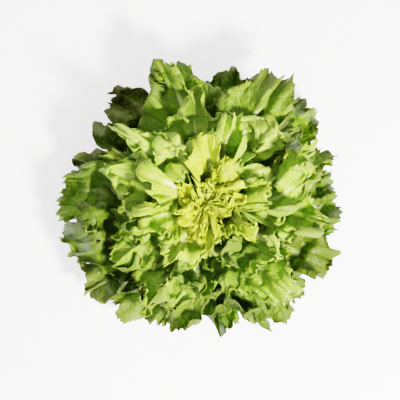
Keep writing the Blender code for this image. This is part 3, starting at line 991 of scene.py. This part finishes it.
def leaf_finish(name, skin, roughness):
    """Leaf skin: pale and fleshy at the foot, greener outwards, with veins, mottling, a darker rim, and
    each leaf's painted light and painted shade.
    """
    finish = bpy.data.materials.new(name)
    finish.use_nodes = True
    tree = finish.node_tree
    nodes, links = tree.nodes, tree.links
    shader = nodes["Principled BSDF"]
    marks = own_marks(tree, (-1600, 200), "leaf_marks")
    place = node(nodes, "ShaderNodeTexCoord", (-1600, -300))
    mottle = noise(tree, (-1200, -300), place.outputs["Object"], MOTTLE_SCALE, 4.0)
    patches = noise(tree, (-1200, -500), place.outputs["Object"], PATCH_SCALE)
    grain = noise(tree, (-1200, -1300), place.outputs["Object"], GRAIN_SCALE, 3.0)
    net = node(nodes, "ShaderNodeTexVoronoi", (-1200, -700), feature="DISTANCE_TO_EDGE")
    net.inputs["Scale"].default_value = NET_SCALE
    links.new(place.outputs["Object"], net.inputs["Vector"])
    net_line = ramped(tree, (-1000, -700), net.outputs["Distance"], 0.16, 0.0)
    vein_line = side_veins(tree, place.outputs["UV"], patches)
    colour = leaf_colour(tree, skin, marks, mottle, patches, net_line, vein_line)
    links.new(colour, shader.inputs["Base Color"])

    gloss = node(nodes, "ShaderNodeMapRange", (-300, 0))
    gloss.inputs["From Min"].default_value = 0.35
    gloss.inputs["From Max"].default_value = 0.65
    gloss.inputs["To Min"].default_value = roughness - 0.12
    gloss.inputs["To Max"].default_value = roughness + 0.16
    links.new(mottle, gloss.inputs["Value"])
    links.new(gloss.outputs["Result"], shader.inputs["Roughness"])
    bump = node(nodes, "ShaderNodeBump", (-100, -300))
    bump.inputs["Strength"].default_value = 0.8
    bump.inputs["Distance"].default_value = 0.0014
    links.new(leaf_relief(tree, mottle, grain, net_line, vein_line), bump.inputs["Height"])
    links.new(bump.outputs["Normal"], shader.inputs["Normal"])
    shader.inputs["Specular IOR Level"].default_value = 0.18 + 0.22 * skin.glow
    _, edge_mark, _, _ = marks
    inside = ramped(tree, (-450, -50), edge_mark, 1.0, 0.8)
    fade = times(tree, (-300, -50), inside, 0.75 * skin.glow)
    glow = calculated(tree, (-150, -50), "ADD", fade, 0.25 * skin.glow)
    links.new(glow, shader.inputs["Subsurface Weight"])
    shader.inputs["Subsurface Radius"].default_value = (0.85, 1.0, 0.14)
    shader.inputs["Subsurface Scale"].default_value = 0.0028
    return finish


def stem_finish():
    """Cut stem: white flesh browned in rings where the knife went through, pale green on its sides."""
    finish = bpy.data.materials.new("stem_flesh")
    finish.use_nodes = True
    tree = finish.node_tree
    nodes, links = tree.nodes, tree.links
    shader = nodes["Principled BSDF"]
    place = node(nodes, "ShaderNodeTexCoord", (-1200, 0))
    grain = noise(tree, (-1000, 100), place.outputs["Object"], 260.0, 5.0)
    rings = node(nodes, "ShaderNodeTexWave", (-1000, -150), wave_type="RINGS", rings_direction="Z")
    rings.inputs["Scale"].default_value = 70.0
    rings.inputs["Distortion"].default_value = 5.0
    rings.inputs["Detail Scale"].default_value = 3.0
    links.new(place.outputs["Object"], rings.inputs["Vector"])
    split = node(nodes, "ShaderNodeSeparateXYZ", (-1000, -400))
    links.new(place.outputs["Object"], split.inputs[0])
    cut = ramped(tree, (-800, -400), split.outputs["Z"], 0.0012, 0.0)
    flesh = mixed(tree, (-700, 200), grain, (0.62, 0.66, 0.36), (0.84, 0.84, 0.66))
    face = mixed(tree, (-700, -50), rings.outputs["Fac"], (0.46, 0.26, 0.10), (0.74, 0.62, 0.36))
    links.new(mixed(tree, (-400, 100), cut, flesh, face), shader.inputs["Base Color"])
    bump = node(nodes, "ShaderNodeBump", (-300, -200))
    bump.inputs["Strength"].default_value = 0.4
    bump.inputs["Distance"].default_value = 0.0008
    links.new(grain, bump.inputs["Height"])
    links.new(bump.outputs["Normal"], shader.inputs["Normal"])
    shader.inputs["Roughness"].default_value = 0.5
    shader.inputs["Subsurface Weight"].default_value = 0.2
    shader.inputs["Subsurface Scale"].default_value = 0.002
    return finish


def greyed_and_shaded(colour):
    """A colour as the underside has it: a little greyer, and darker as painted shade."""
    grey = sum(colour) / 3
    return tuple(0.74 * mix(c, grey, 0.05) for c in colour)


def leaf_finishes(kind):
    """(upper skin, underside) of one kind of leaf."""
    *colours, glow = SKINS[kind]
    # The underside is a greyer copy of the upper skin, darkened as painted shade.
    underside = Skin(*(greyed_and_shaded(colour) for colour in colours), glow)
    return (
        leaf_finish(f"{kind}_upper", SKINS[kind], UPPER_ROUGHNESS),
        leaf_finish(f"{kind}_underside", underside, UNDERSIDE_ROUGHNESS),
    )


def grow_leaves():
    """Every leaf of the head from the lowest up, then the heart."""
    draw = np.random.default_rng(SEED)
    laid = surface_map()
    finishes = {kind: leaf_finishes(kind) for kind in SKINS}
    for whorl, table in ((OUTER, OUTER_LEAVES), (MIDDLE, MIDDLE_LEAVES), (INNER, INNER_LEAVES)):
        for n, leaf in enumerate(leaves_of(whorl, measured(whorl, table), draw)):
            own = np.random.default_rng([SEED, whorl.stream, n])
            name = f"{whorl.name}_{n + 1:02d}"
            # Each leaf's tones, with the painted light and painted shade set for it.
            tone_with_painted_light = LEAF_TONES_AND_PAINTED_LIGHT.get(name, (0.0, 0.0, 0.0, 0.0))
            blade = shape_leaf(name, leaf, whorl, laid, own, LEAF_SOFTNESS, finishes[whorl.name], tone_with_painted_light)
            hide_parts(name)
            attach(blade, "root")
    small_leaves = leaves_of(HEART, heart_measures(draw), draw) + heart_frills(draw)
    blades = []
    for n, leaf in enumerate(sorted(small_leaves, key=lambda leaf: leaf.layer)):
        own = np.random.default_rng([SEED, HEART.stream, n])
        softness = mix(*HEART_SOFTNESS, smooth_step(HEART.layers[0], 1.0, leaf.layer))
        tone_with_painted_light = (0.0, own.uniform(0.0, 0.6), 0.0, 0.0)
        name = f"heart_{n + 1}"
        blades.append(shape_leaf(name, leaf, HEART, laid, own, softness, finishes["heart_leaf"], tone_with_painted_light))
    bpy.ops.object.select_all(action="DESELECT")
    for blade in blades:
        blade.select_set(True)
    bpy.context.view_layer.objects.active = blades[0]
    bpy.ops.object.join()
    heart = bpy.context.active_object
    heart.name = "heart_blades"
    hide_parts("heart_leaves")
    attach(heart, "root")


def finish_stem():
    """The CAD stem keeps its shape and gets its skin."""
    stem = bpy.data.objects["stem"]
    stem.data.materials.clear()
    stem.data.materials.append(stem_finish())


# The photo's frame: straight down, 400 pixels across, with the heart a little off its centre.
PHOTO_PIXELS = 400
METRES_PER_PIXEL = 0.001139
HEART_PIXEL = (209, 206)
CAMERA_HEIGHT = 1.6
SCALE_HEIGHT = 0.055
SENSOR_MM = 36.0


def add_camera():
    """A camera over the head, which sees the photo's width at the height where the scale holds."""
    lens = bpy.data.cameras.new("photo_camera")
    camera = bpy.data.objects.new("photo_camera", lens)
    bpy.context.scene.collection.objects.link(camera)
    width = PHOTO_PIXELS * METRES_PER_PIXEL
    lens.sensor_width = SENSOR_MM
    lens.lens = SENSOR_MM * (CAMERA_HEIGHT - SCALE_HEIGHT) / width
    right_of_centre = (HEART_PIXEL[0] - PHOTO_PIXELS / 2) * METRES_PER_PIXEL
    below_centre = (HEART_PIXEL[1] - PHOTO_PIXELS / 2) * METRES_PER_PIXEL
    camera.location = (-right_of_centre, below_centre, CAMERA_HEIGHT)
    bpy.context.scene.camera = camera


def add_light(name, azimuth, elevation, distance, size, power, colour):
    """A square soft box that points at the head."""
    panel = bpy.data.lights.new(name, "AREA")
    panel.size = size
    panel.energy = power
    panel.color = colour
    light = bpy.data.objects.new(name, panel)
    bpy.context.scene.collection.objects.link(light)
    azimuth, elevation = math.radians(azimuth), math.radians(elevation)
    level = distance * math.cos(elevation)
    light.location = (level * math.cos(azimuth), level * math.sin(azimuth), distance * math.sin(elevation))
    light.rotation_euler = (0, math.pi / 2 - elevation, azimuth)


def add_studio():
    """A pale floor, a key light from the lower right of the photo and a soft fill all round."""
    bpy.ops.object.select_all(action="DESELECT")
    bpy.ops.mesh.primitive_plane_add(size=6.0)
    floor = bpy.context.active_object
    floor.name = "floor"
    white = bpy.data.materials.new("floor_white")
    white.use_nodes = True
    shader = white.node_tree.nodes["Principled BSDF"]
    shader.inputs["Base Color"].default_value = (0.95, 0.95, 0.95, 1)
    shader.inputs["Emission Color"].default_value = (1, 1, 1, 1)
    shader.inputs["Emission Strength"].default_value = 0.65
    shader.inputs["Roughness"].default_value = 0.9
    floor.data.materials.append(white)
    world = bpy.data.worlds.new("studio")
    bpy.context.scene.world = world
    world.use_nodes = True
    world.node_tree.nodes["Background"].inputs["Color"].default_value = (1.0, 1.0, 1.0, 1)
    world.node_tree.nodes["Background"].inputs["Strength"].default_value = 0.50
    bpy.context.scene.view_settings.view_transform = "Filmic"
    bpy.context.scene.view_settings.look = "High Contrast"
    bpy.context.scene.view_settings.exposure = 0.6
    warm_white = (1.0, 0.98, 0.94)
    add_light("key", azimuth=-45, elevation=46, distance=1.6, size=0.32, power=54.0, colour=warm_white)


grow_leaves()
finish_stem()
add_studio()
add_camera()
